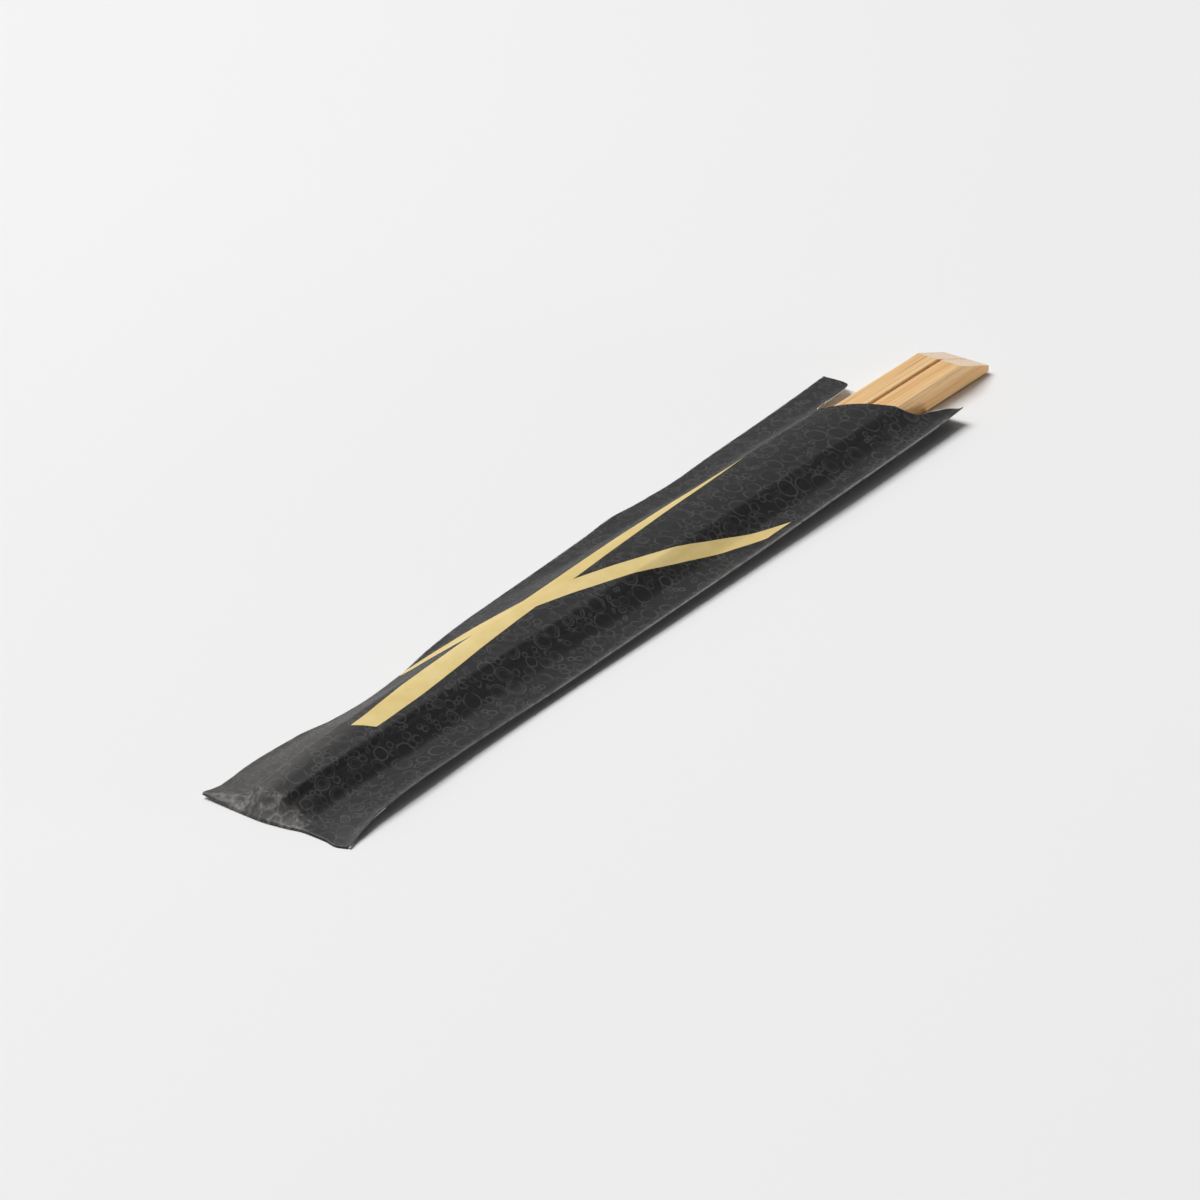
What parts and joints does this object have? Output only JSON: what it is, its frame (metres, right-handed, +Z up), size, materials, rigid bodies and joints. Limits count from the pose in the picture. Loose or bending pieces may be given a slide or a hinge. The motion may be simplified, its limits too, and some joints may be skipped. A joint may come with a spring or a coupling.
{
  "type": "bamboo chopsticks",
  "caption": "Slim bamboo chopsticks joined side by side, with slanted heads, lying skewed in a flat folded paper sleeve with a notched open end.",
  "frame": {"origin": "bottom centre of the whole, on the plane it lies on", "axes": "+X along the sleeve towards its open end and the heads of the sticks, +Y across the sleeve, +Z up off the surface it lies on"},
  "size_m": [0.213, 0.03, 0.0054],
  "materials": {
    "bamboo": "matte",
    "printed_paper": "matte"
  },
  "bodies": {
    "root": {"chopsticks": "bamboo", "sleeve": "printed_paper"}
  },
  "joints": []
}
